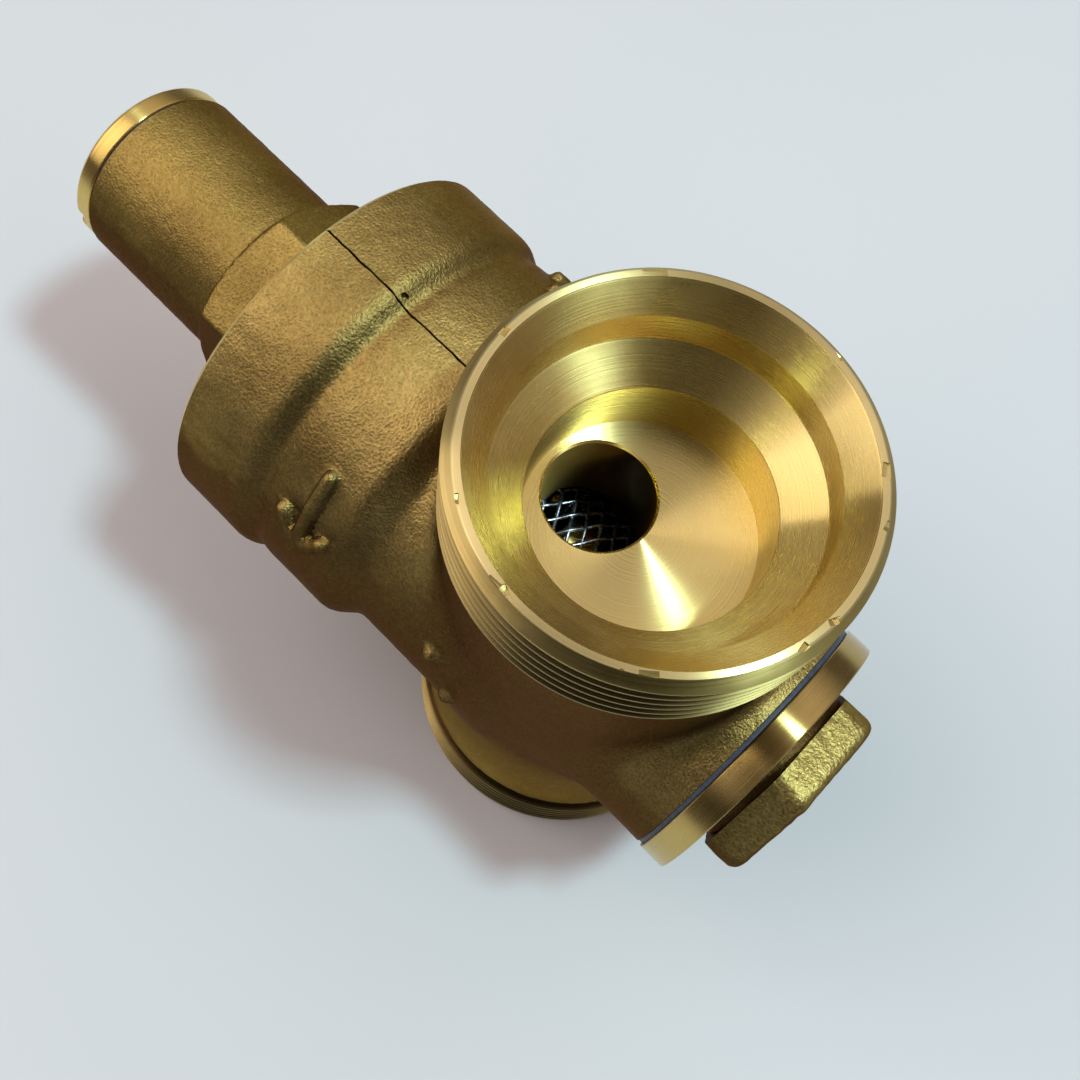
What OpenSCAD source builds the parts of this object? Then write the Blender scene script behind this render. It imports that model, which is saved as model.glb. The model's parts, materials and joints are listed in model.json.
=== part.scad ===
// Brass piston-type pressure reducing valve, with union threads on both ports.
// Origin at the centre of the outlet port's face. +Z runs along the ports to the inlet face,
// and +X along the spring axis to the cap. The pieces of the spring axis are all round X.

/* [Ports] */
// Distance between the inlet face and the outlet face
face_to_face = 66; // [60:1:72]
// Crest radius of the port's male thread, M33 x 1.5
port_thread_r = 16.5; // [16:0.1:17]
// Length of the port's male thread, from the face
port_thread_len = 8.5; // [7:0.5:10]
// Radius of the cast neck behind the thread
port_neck_r = 15.8; // [15.2:0.1:16]
// Radius of the port's mouth behind its sealing cone
mouth_r = 13.1; // [12.5:0.1:13.5]
// Radius of the counterbore inside the mouth
counterbore_r = 10; // [9:0.1:10.5]
// Depth of the counterbore's floor below the face
counterbore_depth = 14.27; // [13:0.1:15]
// Radius of the drilled way from the inlet into the strainer chamber
inlet_way_r = 4.8; // [4:0.1:5]
// Offset of that way from the port's axis, towards the cap
inlet_way_x = 4.35; // [3.5:0.1:5]

/* [Body] */
// Radius of the body's lower trunk, over the strainer
lower_r = 13.6; // [13.4:0.1:14.5]
// Radius of the trunk beside the ports
trunk_r = 17; // [16.5:0.1:17.5]
// Radius of the piston housing
piston_housing_r = 19.1; // [18.8:0.1:19.6]
// Radius of the collar that takes the bonnet
collar_r = 20; // [19.7:0.1:20.5]
// Place of the machined face under the bottom plug
plug_face_x = -17.8; // [-18.5:0.1:-17.5]
// Place of the body's front face, round the bonnet
front_face_x = 37.2; // [36.8:0.1:38]
// Radius of the strainer chamber
chamber_r = 9.5; // [9.3:0.1:10]

/* [Piston and spring] */
// Radius of the piston's bore
piston_bore_r = 15; // [14.5:0.1:15.2]
// Travel of the piston from open to shut
stroke = 3.05; // [2.5:0.05:3.5]
// Running clearance between a moving piece and its bore, on the radius
running = 0.05; // [0.02:0.01:0.1]
// Wire diameter of the spring
spring_wire = 1.8; // [1.6:0.1:2]
// Mean radius of the spring
spring_r = 6; // [5.9:0.05:6.1]
// Number of turns in the spring, with one closed turn at each end
spring_turns = 8; // [6:1:9]

/* [Bonnet and cap] */
// Width across the flats of the bonnet's hexagon
bonnet_hex_af = 20; // [19.5:0.1:22]
// Radius of the bonnet's neck
neck_r = 9.45; // [9.3:0.05:9.8]
// Place of the neck's end, under the cap
neck_end_x = 63; // [62:0.5:64]
// Radius of the cap
cap_r = 9.3; // [9:0.1:9.6]
// Thickness of the cap's head
cap_t = 2.2; // [2:0.1:2.6]

/* [Bottom plug and strainer] */
// Radius of the bottom plug's flange
plug_flange_r = 13.8; // [13.6:0.1:14.5]
// Width across the flats of the bottom plug's hexagon
plug_hex_af = 18; // [18:0.1:20]
// Height of the bottom plug's hexagon
plug_hex_h = 4.8; // [4:0.1:7]
// Outer radius of the strainer's mesh
strainer_r = 8; // [7.8:0.1:8.2]

/* [Hidden] */
$fn = 96;
eps = 0.5;                            // how far a cut runs past the face it opens
axis_z = face_to_face / 2;            // height of the spring axis

// The port, measured from its face
port_chamfer_r = 15.64;               // outer edge of the sealing face
port_chamfer_h = 0.84;
seal_r = 14.98;                       // inner edge of the sealing face
seal_cone_h = 2.42;
mouth_depth = 5.5;
step_depth = 8.17;                    // where the step's cone meets the counterbore

// The body, along the spring axis
outlet_chamber_r = 14.5;
seat_wall_x = [11.5, 14.3];           // the wall that carries the seat
seat_hole_r = 6.5;
piston_bore_x = 18;                   // where the piston's bore begins
bonnet_thread_r = 16.5;
bonnet_shoulder_x = 28.2;             // the shoulder under the bonnet's gasket
plug_thread_r = 11;
plug_thread_end_x = -10.8;
outlet_way_r = 3.6;                   // the slanted way down to the outlet
outlet_way_from = [2.6, 11.6];        // [x, z] of its two ends
outlet_way_to = [14.8, 20.4];

// The bonnet and what is in its neck
bonnet_bottom_x = 28.8;
bonnet_flange_x = 36.8;
bonnet_hex_end_x = 46;
bonnet_hex_corner = -4;               // angle of one corner from +Z towards +Y
neck_thread_r = 8;                    // M16 x 1, for the adjusting screw and the cap
neck_thread_x = 45.5;
neck_bore_r = 7.4;
neck_bore_x = 34;
piston_stop_r = 13;
gasket_t = 0.4;
cap_spigot_len = 3.4;
screw_x = [51, 56];
screw_socket_af = 6;
screw_socket_depth = 3.5;
thrust_t = 0.4;
spring_seat_t = 2;
upper_seat_x = screw_x[0] - thrust_t - spring_seat_t;

// The piston and its stem
piston_x = piston_bore_x + running;
piston_h = 7.65;
piston_floor_x = 20.8;                // the bottom of the piston's cup
piston_cup_r = 7.3;
lower_seat_t = 0.8;
spring_x = piston_floor_x + lower_seat_t;
o_ring_x = 22.6;
o_ring_wire_r = 1.2;
guide_band_x = [18.95, 20.25];
guide_band_r = 14.25;
stem_thread_r = 2.5;                  // M5, through the piston
stem_r = 2.8;
stem_tail_r = 2;                      // M4, through the disc and its holder
hole_gap = 0.05;

// The spring's centreline
spring_steps = 14;                    // rings in each turn
spring_sides = 8;
spring_len = upper_seat_x - spring_x - spring_wire;
closed_pitch = spring_wire * 1.03;
open_pitch = (spring_len - 2 * closed_pitch) / (spring_turns - 2);

// The seat and the disc
seat_flange_x = 10.3;
seat_lip_x = 9.8;
seat_bore_r = 4.6;
disc_face_x = seat_lip_x - stroke - running;
disc_t = 2.3;
disc_r = 5.8;
holder_x = disc_face_x - disc_t - 1.8;
lock_washer_t = 0.4;
disc_nut_h = 2.7;

// The strainer and the plug
strainer_t = 0.45;
strainer_x = [-15.2, 9.4];
plug_gasket_t = 0.5;
plug_flange_x = plug_face_x - plug_gasket_t;
plug_hex_x = plug_flange_x - 2.6;
plug_end_x = plug_hex_x - plug_hex_h;
plug_hex_corner = 22;                 // angle of one corner from +Z towards +Y
plug_spigot_end_x = -11.6;
plug_pocket_x = -16.8;
plug_pocket_r = 8.35;

function hex_r(across_flats) = across_flats / 2 / cos(30);

// Puts a shape that is drawn round Z round the spring axis instead, with its Z along +X.
module on_axis(x = 0) {
    translate([x, 0, axis_z]) rotate([0, 90, 0]) children();
}

// A solid of revolution round the spring axis, from points of [x, r].
module turned(points) {
    on_axis() rotate_extrude() polygon([for (p = points) [p[1], p[0]]]);
}

module disc(x0, x1, r) {
    on_axis(x0) cylinder(r = r, h = x1 - x0);
}

module tube(x0, x1, outer, inner) {
    difference() {
        disc(x0, x1, outer);
        disc(x0 - eps, x1 + eps, inner);
    }
}

// A hexagonal prism, with one corner at the given angle from +Z towards +Y.
module hexagon(x0, x1, across_flats, corner = 0) {
    on_axis(x0) rotate(-corner) cylinder(r = hex_r(across_flats), h = x1 - x0, $fn = 6);
}

module o_ring(x, wire_r, outer_r) {
    on_axis(x) rotate_extrude() translate([outer_r - wire_r, 0]) circle(wire_r, $fn = 32);
}

// Puts a port, drawn with its face at Z = 0 and its depth along -Z, at either end.
module at_inlet() {
    translate([0, 0, face_to_face]) children();
}

module at_outlet() {
    mirror([0, 0, 1]) children();
}

module port_outside() {
    rotate_extrude() polygon([
        [0, 0], [port_chamfer_r, 0], [port_thread_r, -port_chamfer_h],
        [port_thread_r, -port_thread_len], [port_neck_r, -port_thread_len - 0.7],
        [port_neck_r, -axis_z], [0, -axis_z]
    ]);
}

module port_inside() {
    rotate_extrude() polygon([
        [0, eps], [seal_r, eps], [seal_r, 0], [mouth_r, -seal_cone_h], [mouth_r, -mouth_depth],
        [counterbore_r, -step_depth], [counterbore_r, -counterbore_depth], [0, -counterbore_depth]
    ]);
}

module trunk() {
    turned([
        [plug_face_x, 0], [plug_face_x, lower_r], [-3, lower_r], [0, trunk_r],
        [15, trunk_r], [19, piston_housing_r], [25, piston_housing_r], [26, 18.7],
        [28.4, collar_r], [front_face_x - 0.8, collar_r], [front_face_x, collar_r - 0.8],
        [front_face_x, 0]
    ]);
}

module spring_axis_bores() {
    turned([
        [plug_face_x - eps, 0], [plug_face_x - eps, plug_thread_r],
        [plug_thread_end_x, plug_thread_r], [plug_thread_end_x, chamber_r],
        [seat_wall_x[0], chamber_r], [seat_wall_x[0], seat_hole_r],
        [seat_wall_x[1], seat_hole_r], [seat_wall_x[1], outlet_chamber_r],
        [piston_bore_x, outlet_chamber_r], [piston_bore_x, piston_bore_r],
        [bonnet_shoulder_x, piston_bore_r], [bonnet_shoulder_x, bonnet_thread_r],
        [front_face_x + eps, bonnet_thread_r], [front_face_x + eps, 0]
    ]);
}

module inlet_way() {
    floor_z = face_to_face - counterbore_depth;
    translate([inlet_way_x, 0, axis_z + chamber_r / 2])
        cylinder(r = inlet_way_r, h = floor_z - axis_z - chamber_r / 2 + eps);
}

module outlet_way() {
    run = outlet_way_to - outlet_way_from;
    translate([outlet_way_from[0], 0, outlet_way_from[1]])
        rotate([0, atan2(run[0], run[1]), 0]) cylinder(r = outlet_way_r, h = norm(run));
}

module body() {
    color("peru") difference() {
        union() {
            trunk();
            at_inlet() port_outside();
            at_outlet() port_outside();
        }
        at_inlet() port_inside();
        at_outlet() port_inside();
        spring_axis_bores();
        inlet_way();
        outlet_way();
    }
}

module bonnet() {
    flange_r = bonnet_thread_r - running;
    color("peru") difference() {
        union() {
            disc(bonnet_bottom_x, bonnet_flange_x, flange_r);
            intersection() {
                hexagon(bonnet_flange_x - eps, bonnet_hex_end_x, bonnet_hex_af, bonnet_hex_corner);
                turned([
                    [bonnet_flange_x - eps, 0], [bonnet_flange_x - eps, 12],
                    [bonnet_hex_end_x - 1.2, 12], [bonnet_hex_end_x, 9.9], [bonnet_hex_end_x, 0]
                ]);
            }
            disc(bonnet_flange_x, neck_end_x, neck_r);
        }
        disc(bonnet_bottom_x - eps, neck_bore_x, piston_stop_r);
        disc(neck_bore_x - eps, neck_thread_x + eps, neck_bore_r);
        disc(neck_thread_x, neck_end_x + eps, neck_thread_r);
    }
}

module bonnet_gasket() {
    color("firebrick")
        tube(bonnet_shoulder_x, bonnet_bottom_x, bonnet_thread_r - 0.1, piston_bore_r + 0.1);
}

module cap() {
    head_x = neck_end_x + gasket_t;
    color("goldenrod") difference() {
        union() {
            turned([
                [head_x, 0], [head_x, cap_r], [head_x + cap_t - 0.5, cap_r],
                [head_x + cap_t, cap_r - 0.5], [head_x + cap_t, 0]
            ]);
            disc(head_x - cap_spigot_len, head_x + 0.1, neck_thread_r - running);
        }
        on_axis(head_x + cap_t - 1.2)
            translate([-0.9, -cap_r - 1, 0]) cube([1.8, 2 * cap_r + 2, 2]);
    }
}

module cap_gasket() {
    color("dimgray") tube(neck_end_x, neck_end_x + gasket_t, cap_r - 0.2, neck_thread_r + 0.1);
}

module adjusting_screw() {
    color("goldenrod") difference() {
        disc(screw_x[0], screw_x[1], neck_thread_r - running);
        hexagon(screw_x[1] - screw_socket_depth, screw_x[1] + eps, screw_socket_af);
    }
}

module thrust_washer() {
    color("white") disc(screw_x[0] - thrust_t, screw_x[0], 6);
}

module upper_spring_seat() {
    color("silver") union() {
        disc(upper_seat_x, upper_seat_x + spring_seat_t, 7.2);
        disc(upper_seat_x - 1.5, upper_seat_x + 0.1, spring_r - spring_wire / 2 - 0.2);
    }
}

// The spring's centreline: closed turns at both ends, and even pitch between them.
function spring_rise(turn) =
    turn < 1 ? closed_pitch * turn
    : turn > spring_turns - 1 ? spring_len - closed_pitch * (spring_turns - turn)
    : closed_pitch + open_pitch * (turn - 1);

function spring_ring(turn) = [
    for (k = [0:spring_sides - 1])
        let (a = 360 * turn, b = 360 * k / spring_sides,
             r = spring_r + spring_wire / 2 * cos(b),
             z = spring_rise(turn) + spring_wire / 2 * (1 + sin(b)))
        [r * cos(a), r * sin(a), z]
];

module spring() {
    rings = spring_turns * spring_steps + 1;
    points = [for (i = [0:rings - 1]) each spring_ring(i / spring_steps)];
    sides = [
        for (i = [0:rings - 2], k = [0:spring_sides - 1])
            let (a = i * spring_sides, b = a + spring_sides, n = (k + 1) % spring_sides)
            [a + k, a + n, b + n, b + k]
    ];
    first = [for (k = [0:spring_sides - 1]) spring_sides - 1 - k];
    last = [for (k = [0:spring_sides - 1]) (rings - 1) * spring_sides + k];
    color("silver") on_axis(spring_x)
        polyhedron(points = points, faces = concat(sides, [first, last]));
}

module lower_spring_seat() {
    color("silver") tube(piston_floor_x, spring_x, piston_cup_r - 0.1, stem_thread_r + hole_gap);
}

module piston() {
    outer = piston_bore_r - running;
    groove_r = outer - 2 * o_ring_wire_r;
    color("goldenrod") difference() {
        disc(piston_x, piston_x + piston_h, outer);
        disc(piston_floor_x, piston_x + piston_h + eps, piston_cup_r);
        disc(piston_x - eps, piston_floor_x + eps, stem_thread_r + hole_gap);
        tube(o_ring_x - 1.5, o_ring_x + 1.5, outer + eps, groove_r - 0.05);
        tube(guide_band_x[0], guide_band_x[1], outer + eps, guide_band_r);
    }
}

module piston_o_ring() {
    color("black") o_ring(o_ring_x, o_ring_wire_r, piston_bore_r - running);
}

module piston_guide_band() {
    color("ivory") tube(guide_band_x[0] + 0.05, guide_band_x[1] - 0.05,
        piston_bore_r - running + 0.02, guide_band_r + 0.05);
}

module piston_nut() {
    color("gold") difference() {
        hexagon(spring_x, spring_x + 2.7, 8);
        disc(spring_x - eps, spring_x + 3, stem_thread_r + hole_gap);
    }
}

module stem() {
    color("lightgray") turned([
        [holder_x - lock_washer_t - disc_nut_h - 0.8, 0],
        [holder_x - lock_washer_t - disc_nut_h - 0.8, stem_tail_r],
        [disc_face_x, stem_tail_r], [disc_face_x, stem_r], [piston_x, stem_r],
        [piston_x, stem_thread_r], [spring_x + 3.4, stem_thread_r], [spring_x + 3.4, 0]
    ]);
}

module seat_ring() {
    outer = seat_hole_r - hole_gap;
    color("goldenrod") difference() {
        union() {
            disc(seat_flange_x, seat_wall_x[0], 8.2);
            disc(seat_lip_x, seat_flange_x + 0.1, 5.4);
            disc(seat_wall_x[0] - 0.1, seat_wall_x[1], outer);
        }
        disc(seat_lip_x - eps, seat_wall_x[1] + eps, seat_bore_r);
        tube(12.5, 13.6, outer + eps, 5.35);
    }
}

module seat_o_ring() {
    color("black") o_ring(13.05, 0.5, seat_hole_r - hole_gap);
}

module disc_holder() {
    color("goldenrod") difference() {
        disc(holder_x, disc_face_x - 0.8, 6.6);
        disc(disc_face_x - disc_t, disc_face_x, disc_r + hole_gap);
        disc(holder_x - eps, disc_face_x, stem_tail_r + hole_gap);
    }
}

module valve_disc() {
    color("black") tube(disc_face_x - disc_t, disc_face_x, disc_r, stem_tail_r + hole_gap);
}

module disc_lock_washer() {
    color("silver") tube(holder_x - lock_washer_t, holder_x, 3.8, stem_tail_r + hole_gap);
}

module disc_nut() {
    far_x = holder_x - lock_washer_t - disc_nut_h;
    color("gold") difference() {
        hexagon(far_x, far_x + disc_nut_h, 7);
        disc(far_x - eps, far_x + disc_nut_h + eps, stem_tail_r + hole_gap);
    }
}

module strainer_mesh() {
    color("silver") tube(strainer_x[0], strainer_x[1], strainer_r, strainer_r - strainer_t);
}

module strainer_front_ring() {
    color("silver") tube(strainer_x[1], seat_flange_x - 0.05, 8.7, 7.4);
}

module strainer_rear_ring() {
    color("silver") tube(strainer_x[0] - 1.4, strainer_x[0], 8.2, 6.4);
}

module plug_gasket() {
    color("darkslategray")
        tube(plug_flange_x, plug_face_x, lower_r - 0.1, plug_thread_r + 0.2);
}

module bottom_plug() {
    color("goldenrod") difference() {
        union() {
            intersection() {
                hexagon(plug_end_x, plug_hex_x + 0.1, plug_hex_af, plug_hex_corner);
                turned([
                    [plug_end_x, 0], [plug_end_x, plug_hex_af / 2 + 0.2],
                    [plug_end_x + 1, hex_r(plug_hex_af) + 0.3],
                    [plug_hex_x + 0.1, hex_r(plug_hex_af) + 0.3], [plug_hex_x + 0.1, 0]
                ]);
            }
            disc(plug_hex_x, plug_flange_x, plug_flange_r);
            disc(plug_flange_x - 0.1, plug_spigot_end_x, plug_thread_r - running);
        }
        disc(plug_pocket_x, plug_spigot_end_x + eps, plug_pocket_r);
    }
}

body();
bonnet();
bonnet_gasket();
cap();
cap_gasket();
adjusting_screw();
thrust_washer();
upper_spring_seat();
spring();
lower_spring_seat();
piston();
piston_o_ring();
piston_guide_band();
piston_nut();
stem();
seat_ring();
seat_o_ring();
disc_holder();
valve_disc();
disc_lock_washer();
disc_nut();
strainer_mesh();
strainer_front_ring();
strainer_rear_ring();
plug_gasket();
bottom_plug();
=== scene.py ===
"""Visual model of a brass piston-type pressure reducing valve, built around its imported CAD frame.

Lengths are in millimetres, and mesh_piece() turns them into metres. The lights, the floor and the limits
inside the materials are in metres. The spring axis runs along X at height AXIS_Z. Both ports run along Z
through x = 0, y = 0. An outline is a list of (place along its axis, radius).
"""

import json
import math

import bmesh
import bpy
import numpy as np
import openvdb
from mathutils import Matrix, Vector

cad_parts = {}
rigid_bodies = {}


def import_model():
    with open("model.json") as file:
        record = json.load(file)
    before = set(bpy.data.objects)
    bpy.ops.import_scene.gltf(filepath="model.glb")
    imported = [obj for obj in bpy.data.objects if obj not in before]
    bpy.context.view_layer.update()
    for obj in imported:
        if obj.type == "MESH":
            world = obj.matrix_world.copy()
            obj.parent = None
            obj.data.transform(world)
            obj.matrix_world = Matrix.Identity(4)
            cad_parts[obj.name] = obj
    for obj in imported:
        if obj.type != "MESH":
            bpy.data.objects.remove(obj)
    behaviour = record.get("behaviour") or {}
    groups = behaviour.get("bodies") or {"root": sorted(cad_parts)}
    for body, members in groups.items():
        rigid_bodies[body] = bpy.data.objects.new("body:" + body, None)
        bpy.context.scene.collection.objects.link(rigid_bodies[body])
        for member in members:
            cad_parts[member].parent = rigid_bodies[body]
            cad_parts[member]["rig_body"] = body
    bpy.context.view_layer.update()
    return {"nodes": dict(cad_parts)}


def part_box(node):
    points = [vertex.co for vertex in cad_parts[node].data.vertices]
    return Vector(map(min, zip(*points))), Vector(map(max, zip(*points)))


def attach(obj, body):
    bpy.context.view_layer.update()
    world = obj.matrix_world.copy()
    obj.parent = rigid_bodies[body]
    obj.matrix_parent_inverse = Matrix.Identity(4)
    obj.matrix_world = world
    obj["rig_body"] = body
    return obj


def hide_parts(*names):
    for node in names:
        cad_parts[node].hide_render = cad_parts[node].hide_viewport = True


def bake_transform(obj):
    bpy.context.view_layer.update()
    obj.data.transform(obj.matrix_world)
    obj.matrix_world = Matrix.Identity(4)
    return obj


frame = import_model()

MM = 0.001
CASTING_STEP = 0.375     # grid step of the cast skins
SIDES = 144                                     # sides of a turned piece


def span(node):
    """Where a node starts and ends along X, and its radius around the spring axis."""
    low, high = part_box(node)
    return low.x / MM, high.x / MM, (high.y - low.y) / 2 / MM


FACE_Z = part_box("body")[1].z / MM
AXIS_Z = (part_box("bonnet")[0].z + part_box("bonnet")[1].z) / 2 / MM
PLUG_FACE_X, FRONT_FACE_X, COLLAR_R = span("body")

# The ports. Depths are measured from their faces.
PORT_CREST_R = 16.5
PORT_THREAD_LEN = 8.5
PORT_PITCH = 1.5
PORT_NECK_R = 15.8
PORT_CHAMFER = 0.84
PORT_FACE_INNER_R = 14.98
SEAL_CONE_DEPTH = 2.42
MOUTH_R = 13.1
MOUTH_DEPTH = 5.5
STEP_DEPTH = 8.17
COUNTERBORE_R = 10.0
COUNTERBORE_DEPTH = 14.27
INLET_WAY_R = 4.8
INLET_WAY_X = 4.35
OUTLET_WAY_R = 3.6
OUTLET_WAY = ((2.6, 11.6), (14.8, 20.4))        # x and z of its two ends

# The body, around the spring axis
TRUNK_R = 17.0
LOWER_R = 13.6
HOUSING_R = 19.1
CHAMBER_R = 9.5
SEAT_WALL = (11.5, 14.3)                        # where the wall around the seat ring starts and ends
SEAT_HOLE_R = 6.5
OUTLET_ROOM_R = 14.5                            # the room between that wall and the piston bore
PISTON_BORE_X = 18.0
PISTON_BORE_R = 15.0
BONNET_SHOULDER_X = 28.2

# Threads. Their radii are those of the crests.
PLUG_THREAD_R = 11.0
PLUG_THREAD_END_X = -10.8
BONNET_THREAD_R = 16.5
THREAD_DEPTH = 0.9
FINE_PITCH, FINE_DEPTH = 1.0, 0.55              # the threads of the adjusting screw and the cap

# One pitch of a thread: the phase of each row, and its height from the root at 0 to the crest at 1
THREAD_ROWS = np.array([(0.0, 1.0), (0.18, 1.0), (0.46, 0.08), (0.52, 0.0), (0.64, 0.0), (0.70, 0.08)])


# ----- Meshes -----

def mesh_piece(name, points, faces, material):
    """A mesh object from points in millimetres, closed and facing outwards."""
    mesh = bpy.data.meshes.new(name)
    mesh.from_pydata((np.asarray(points) * MM).tolist(), [], np.asarray(faces).tolist())
    mesh.materials.append(material)
    piece = bpy.data.objects.new(name, mesh)
    bpy.context.scene.collection.objects.link(piece)
    clean = bmesh.new()
    clean.from_mesh(mesh)
    bmesh.ops.remove_doubles(clean, verts=clean.verts, dist=1e-7)
    open_edges = [edge for edge in clean.edges if edge.is_boundary]
    if open_edges:
        bmesh.ops.holes_fill(clean, edges=open_edges)
    bmesh.ops.recalc_face_normals(clean, faces=clean.faces)
    clean.to_mesh(mesh)
    clean.free()
    return piece


def combine(piece, other, operation):
    """Joins, cuts or intersects a piece with another, which is used up."""
    modifier = piece.modifiers.new("combine", "BOOLEAN")
    modifier.operation = operation
    modifier.solver = "MANIFOLD"
    modifier.material_mode = "TRANSFER"
    modifier.object = other
    graph = bpy.context.evaluated_depsgraph_get()
    result = bpy.data.meshes.new_from_object(piece.evaluated_get(graph))
    piece.modifiers.clear()
    old = piece.data
    piece.data = result
    result.name = piece.name
    bpy.data.meshes.remove(old)
    bpy.data.meshes.remove(other.data)
    return piece


def join(piece, *others):
    for other in others:
        combine(piece, other, "UNION")
    return piece


def cut(piece, *others):
    for other in others:
        combine(piece, other, "DIFFERENCE")
    return piece


def around_x(x, r, angle):
    """Points around the spring axis, at angles from +Y towards +Z."""
    return np.stack([x + 0 * angle, r * np.cos(angle), AXIS_Z + r * np.sin(angle)], -1)


def around_z(z, r, angle):
    """Points around the ports' axis, at angles from +X towards +Y."""
    return np.stack([r * np.cos(angle), r * np.sin(angle), z + 0 * angle], -1)


def soften(outline, radius, steps=3):
    """Rounds the corners of a closed outline that are off the axis."""
    points = np.array(outline, float)
    result = []
    for before, corner, after in zip(np.roll(points, 1, 0), points, np.roll(points, -1, 0)):
        to_before, to_after = before - corner, after - corner
        long_before, long_after = np.linalg.norm(to_before), np.linalg.norm(to_after)
        if corner[1] < 1e-6 or min(long_before, long_after) < 1e-6:
            result.append(corner)
            continue
        back = to_before * min(radius / long_before, 0.45)
        on = to_after * min(radius / long_after, 0.45)
        for t in np.linspace(0, 1, steps + 1):
            result.append(corner + back * (1 - t) ** 2 + on * t ** 2)
    return np.array(result)


def lathe(name, outline, material, axis=around_x, radius=0.1, sides=SIDES):
    """A closed outline of (place along the axis, radius) turned around it, with its corners rounded."""
    outline = soften(outline, radius) if radius else np.array(outline, float)
    angle = 2 * np.pi * np.arange(sides) / sides
    points = axis(outline[:, :1], outline[:, 1:], angle[None]).reshape(-1, 3)
    row, column = np.meshgrid(np.arange(len(outline)), np.arange(sides), indexing="ij")
    next_row, next_column = (row + 1) % len(outline), (column + 1) % sides
    faces = np.stack([row * sides + column, next_row * sides + column,
                      next_row * sides + next_column, row * sides + next_column], -1)
    return mesh_piece(name, points, faces.reshape(-1, 4), material)


def rod(name, start, end, radius, material, axis=around_x, edge=0.1, sides=SIDES):
    outline = [(start, 0), (start, radius), (end, radius), (end, 0)]
    return lathe(name, outline, material, axis, edge, sides)


def ring(name, start, end, outer, inner, material, edge=0.1):
    outline = [(start, inner), (start, outer), (end, outer), (end, inner)]
    return lathe(name, outline, material, around_x, edge)


def thread(name, start, end, crest, pitch, material, axis=around_x, depth=THREAD_DEPTH, sides=SIDES):
    """A rod with a right-hand thread. Threads of one pitch on one axis share their phase, and fit."""
    per_turn = len(THREAD_ROWS)
    first_turn = math.floor(start / pitch) - 2
    turns = math.ceil((end - start) / pitch) + 4
    row = np.arange(turns * per_turn)[:, None]
    column = np.arange(sides)[None]
    place = (first_turn + row // per_turn + THREAD_ROWS[row % per_turn, 0] + column / sides) * pitch
    place = np.clip(place, start, end)
    phase = np.mod(place / pitch - column / sides, 1)
    height = np.interp(phase, np.append(THREAD_ROWS[:, 0], 1), np.append(THREAD_ROWS[:, 1], 1))
    points = axis(place, crest - depth + depth * height, 2 * np.pi * column / sides + 0 * place)
    row, column = np.meshgrid(np.arange(len(place) - per_turn - 1), np.arange(sides), indexing="ij")
    past = (column + 1) // sides
    beside = (row + per_turn * past) * sides + (column + 1) % sides
    faces = np.stack([row * sides + column, (row + 1) * sides + column, beside + sides, beside], -1)
    return mesh_piece(name, points.reshape(-1, 3), faces.reshape(-1, 4), material)


def threaded(name, start, end, crest, pitch, material, axis=around_x, depth=THREAD_DEPTH,
             chamfer=(0.8, 0.8)):
    """A thread with its ends chamfered by the given lengths."""
    piece = thread(name, start - pitch, end + pitch, crest, pitch, material, axis, depth)
    outline = [(start, 0), (start, crest - chamfer[0]), (start + chamfer[0], crest),
               (end - chamfer[1], crest), (end, crest - chamfer[1]), (end, 0)]
    return combine(piece, lathe(name, outline, material, axis, 0.04), "INTERSECT")


def prism(name, start, end, across_flats, material, rounding):
    """A hexagon around the spring axis, with one corner at the top."""
    turn = np.radians(90 + 60 * np.arange(6))
    corners = np.stack([np.cos(turn), np.sin(turn)], -1) * across_flats / 2 / math.cos(math.pi / 6)
    off_axis = 100      # lifts all corners to where soften() rounds them
    outline = soften(np.stack([corners[:, 0], corners[:, 1] + off_axis], -1), rounding)
    outline[:, 1] -= off_axis
    count = len(outline)
    ends = [np.column_stack([np.full(count, x), outline[:, 0], AXIS_Z + outline[:, 1]])
            for x in (start, end)]
    faces = [[i, (i + 1) % count, count + (i + 1) % count, count + i] for i in range(count)]
    return mesh_piece(name, np.concatenate(ends), faces, material)


def block(name, low, high, material):
    """A box between two corners, used as a cutter."""
    points = [(x, y, z) for x in (low[0], high[0]) for y in (low[1], high[1]) for z in (low[2], high[2])]
    faces = [(0, 1, 3, 2), (4, 6, 7, 5), (0, 4, 5, 1), (2, 3, 7, 6), (0, 2, 6, 4), (1, 5, 7, 3)]
    return mesh_piece(name, points, faces, material)


def tube(centre, outwards, beside, radius, sides, flat=1.0):
    """Rings of points around a centreline. Outwards, they are thinner by the factor flat."""
    section = (2 * np.pi * np.arange(sides) / sides)[None, :, None]
    return centre[:, None] + radius * (
        outwards[:, None] * np.cos(section) * flat + beside[:, None] * np.sin(section))


def tube_faces(rings, sides):
    """The quads between the rings of a tube with open ends."""
    row, column = np.meshgrid(np.arange(rings - 1), np.arange(sides), indexing="ij")
    beside = (column + 1) % sides
    faces = np.stack([row * sides + column, (row + 1) * sides + column,
                      (row + 1) * sides + beside, row * sides + beside], -1)
    return faces.reshape(-1, 4)


def finish_piece(piece, nodes, angle=35):
    """Shades a piece, puts it on the body of the CAD nodes that it stands for, and hides those."""
    clean = bmesh.new()
    clean.from_mesh(piece.data)
    bmesh.ops.dissolve_degenerate(clean, dist=2e-6, edges=clean.edges)
    clean.to_mesh(piece.data)
    clean.free()
    piece.data.shade_smooth()
    piece.data.set_sharp_from_angle(angle=math.radians(angle))
    body = frame["nodes"][nodes[0]]["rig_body"]
    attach(piece, body)
    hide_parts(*nodes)
    return piece


# ----- Cast skins: distance fields on a grid, with smooth joints -----

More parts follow.
